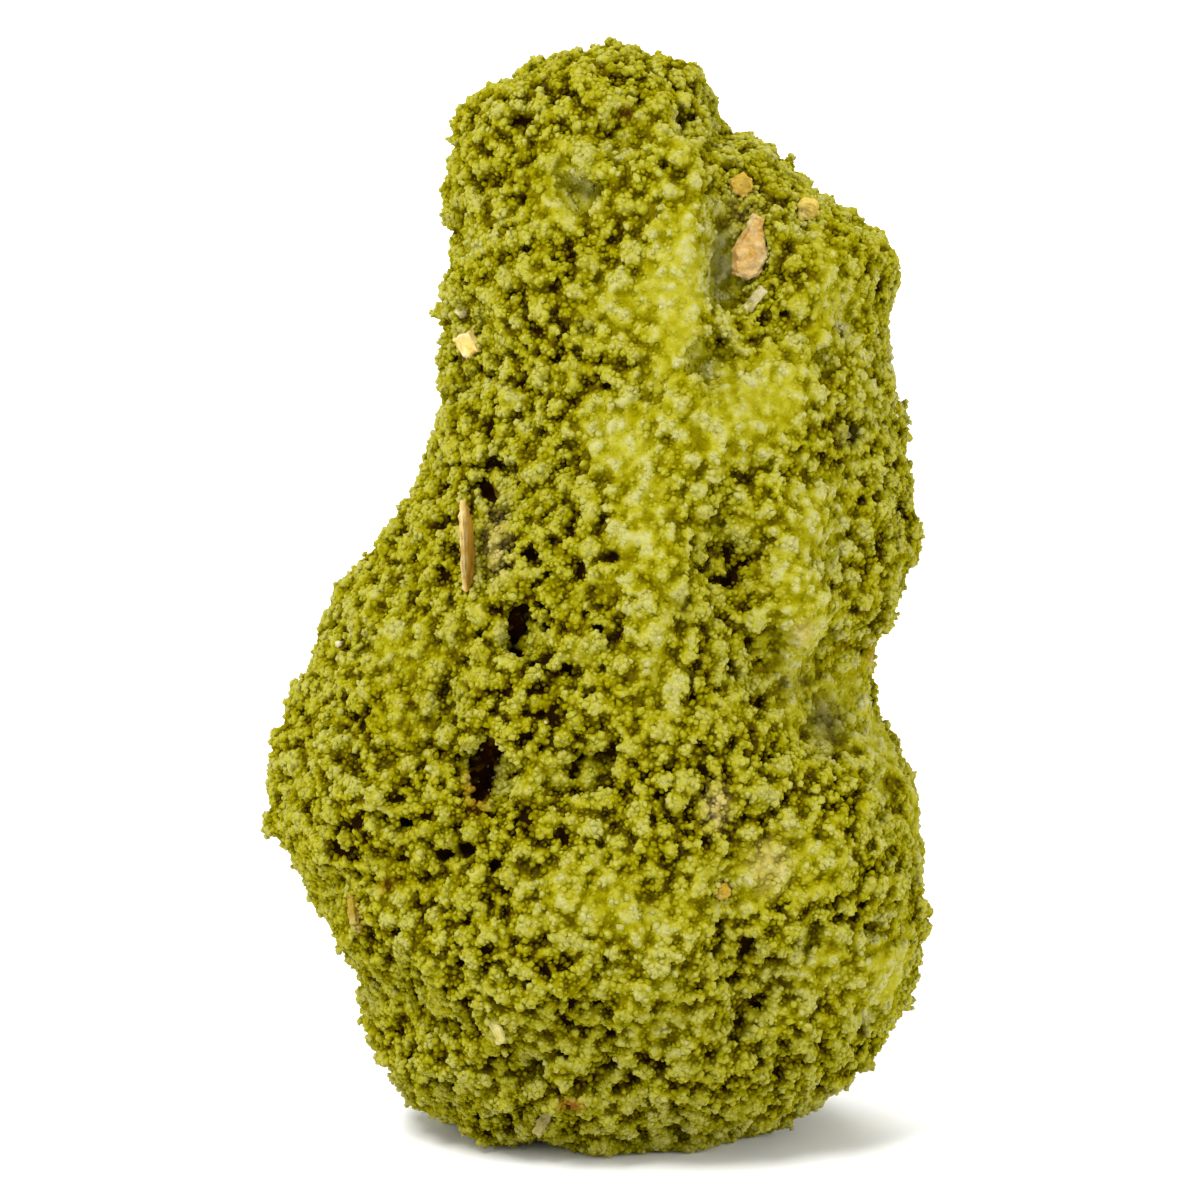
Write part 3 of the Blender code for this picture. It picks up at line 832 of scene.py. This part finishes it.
def clay_material():
    nodes = Nodes("nontronite crust", 0.92)
    rise = nodes.attribute("rise")
    worn = nodes.attribute("worn")
    painted_shade_and_highlight = nodes.attribute("painted_shade_and_highlight")
    patch = nodes.noise(190.0, 4.0)
    fine = nodes.noise(2200.0, 3.0)
    # Painted shade and highlight: low places and creases go dark, nearly black in the pits, and
    # grain tips go pale; wear, dust and random tone add to it.
    level = nodes.total(
        nodes.spread(rise, 0.18, 0.75, -0.03, 0.37),
        nodes.math("MULTIPLY", nodes.spread(painted_shade_and_highlight, 0.15, 0.85, 0.0, 0.42),
                   nodes.spread(worn, 0.0, 1.0, 1.0, 0.72)),
        nodes.spread(patch, 0.3, 0.7, -0.06, 0.06),
        nodes.spread(fine, 0.3, 0.7, -0.08, 0.08),
        nodes.spread(worn, 0.0, 1.0, 0.0, 0.30))
    colour = nodes.ramp(level, [(0.10, PIT_SHADOW), (0.26, SHADED_OLIVE), (0.50, OLIVE), (0.74, YELLOW),
                                (1.0, DUST_AND_HIGHLIGHT)])
    ragged = nodes.spread(nodes.noise(1500.0, 4.0, 0.65), 0.3, 0.7, 0.35, 1.25)
    # The stains keep the crust's painted shade and highlight.
    shade = nodes.spread(level, 0.1, 0.9, 0.25, 1.3)
    for kind, stain in (("tan", TAN_DUST), ("rust", RUST), ("dark", SOOT)):
        share = nodes.math("MULTIPLY", nodes.attribute(kind), ragged)
        stained = nodes.mix(1.0, stain, nodes.ramp(shade, [(0.0, (0, 0, 0)), (1.0, (1, 1, 1))]),
                            "MULTIPLY")
        colour = nodes.mix(nodes.spread(share, 0.05, 0.9, 0.0, 0.92), colour, stained)
    nodes.colour(colour)
    nodes.bump(nodes.noise(4200.0, 4.0, 0.62), 1.0, 0.00022)
    return nodes.material


def flake_material(name, first, second, edge, across=None):
    """A streaked, stained mineral. Some change colour across, from one x to another."""
    nodes = Nodes(name, 0.8)
    streak = nodes.noise(1500.0, 5.0, 0.65)
    patch = nodes.noise(700.0, 4.0, 0.6)
    colour = nodes.mix(nodes.spread(streak, 0.40, 0.62), first, second)
    share = nodes.spread(patch, 0.50, 0.66)
    if across:
        axes = nodes.add("ShaderNodeSeparateXYZ")
        nodes.link(nodes.place(), axes.inputs[0])
        wavy = nodes.math("ADD", axes.outputs["X"], nodes.spread(patch, 0.2, 0.8, -2e-4, 2e-4))
        share = nodes.spread(wavy, *across)
    nodes.colour(nodes.mix(share, colour, edge))
    nodes.bump(nodes.noise(3500.0, 5.0, 0.65), 0.8, 0.00012)
    return nodes.material


def roughen(node):
    """Rounds and roughens one embedded piece by modifiers; its own mesh stays as it is."""
    node.modifiers.new("joined faces", "WELD").merge_threshold = 0.001 * MM
    bevel = node.modifiers.new("soft edges", "BEVEL")
    bevel.width = 0.10 * MM
    bevel.segments = 2
    bevel.limit_method = "ANGLE"
    split = node.modifiers.new("finer faces", "SUBSURF")
    split.levels = split.render_levels = 2
    clouds = bpy.data.textures.new("pitted", "CLOUDS")
    clouds.noise_scale = 0.45 * MM
    clouds.noise_depth = 3
    uneven = node.modifiers.new("uneven", "DISPLACE")
    uneven.texture = clouds
    uneven.texture_coords = "LOCAL"
    uneven.strength = 0.45 * MM
    uneven.mid_level = 0.55


def stage_material():
    nodes = Nodes("pale floor", 0.9)
    nodes.colour(nodes.ramp(nodes.noise(3.0), [(0.0, (0.90, 0.90, 0.90)),
                                               (1.0, (0.93, 0.93, 0.93))]))
    return nodes.material


def build_stage():
    """A pale floor that curves up into a plain backdrop."""
    shape = bmesh.new()
    width, front, back, radius, top = 24.0, -12.0, 1.0, 0.6, 1.8
    outline = [(front, 0.0)]
    steps = 12
    for step in range(steps + 1):
        angle = math.pi / 2 * step / steps
        outline.append((back + radius * math.sin(angle), radius * (1 - math.cos(angle))))
    outline.append((back + radius, top))
    rows = []
    for x in (-width / 2, width / 2):
        rows.append([shape.verts.new((x, y, z)) for y, z in outline])
    for k in range(len(outline) - 1):
        shape.faces.new((rows[0][k], rows[1][k], rows[1][k + 1], rows[0][k + 1]))
    mesh = bpy.data.meshes.new("floor")
    shape.to_mesh(mesh)
    shape.free()
    mesh.shade_smooth()
    floor = collection_object("floor", mesh)
    mesh.materials.append(stage_material())


def area_light(name, place, aim, size, power, colour=(1.0, 1.0, 1.0)):
    data = bpy.data.lights.new(name, "AREA")
    data.shape = "DISK"
    data.size = size
    data.energy = power
    data.color = colour
    light = collection_object(name, data)
    light.location = place
    light.rotation_euler = (Vector(aim) - Vector(place)).to_track_quat("-Z", "Y").to_euler()


def build_lights():
    world = bpy.data.worlds.new("studio")
    bpy.context.scene.world = world
    world.use_nodes = True
    world.node_tree.nodes["Background"].inputs["Color"].default_value = (1.0, 1.0, 1.0, 1.0)
    world.node_tree.nodes["Background"].inputs["Strength"].default_value = 0.62
    aim = (0.0, 0.0, 0.035)
    area_light("key", (-0.18, -0.28, 0.46), aim, 0.18, 2.85)
    area_light("right side", (0.44, -0.22, 0.16), aim, 0.26, 1.3)
    area_light("left side", (-0.44, -0.18, 0.12), aim, 0.26, 0.7)
    area_light("backdrop", (0.0, 0.9, 1.3), (0.0, 1.5, 0.1), 1.2, 30.0)


def build_camera():
    data = bpy.data.cameras.new("camera")
    data.lens = CAMERA_LENS
    data.sensor_width = SENSOR_WIDTH
    data.clip_start = 0.01
    camera = collection_object("camera", data)
    tilt = math.radians(CAMERA_ELEVATION)
    direction = Vector((0.0, -math.cos(tilt), math.sin(tilt)))
    camera.location = CAMERA_TARGET + direction * CAMERA_DISTANCE
    camera.rotation_euler = (-direction).to_track_quat("-Z", "Y").to_euler()
    bpy.context.scene.camera = camera
    bpy.context.scene.view_settings.view_transform = "Standard"


def main():
    build_camera()
    build_lights()
    build_stage()
    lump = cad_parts["nontronite_mass"]
    base = evaluated_mesh(lump.data.copy(), "base_copy",
                          ("REMESH", {"mode": "VOXEL", "voxel_size": BASE_VOXEL}),
                          ("SMOOTH", {"factor": 0.5, "iterations": BASE_SMOOTHING}))
    flakes = [node for name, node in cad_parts.items() if name != "nontronite_mass"]
    crust, specks = build_crust(base, flakes)
    clay = clay_material()
    for piece in crust:
        piece.data.materials.append(clay)
        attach(piece, "root")
    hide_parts("nontronite_mass")
    looks = {name: flake_material(name.replace("_", " "), *colours)
             for name, colours in FLAKE_COLOURS.items()}
    for name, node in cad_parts.items():
        if name != "nontronite_mass":
            node.data.materials.clear()
            node.data.materials.append(looks[name])
            roughen(node)
    specks.data.materials.append(flake_material("pale speck", *SPECK_COLOURS))
    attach(specks, "root")


main()
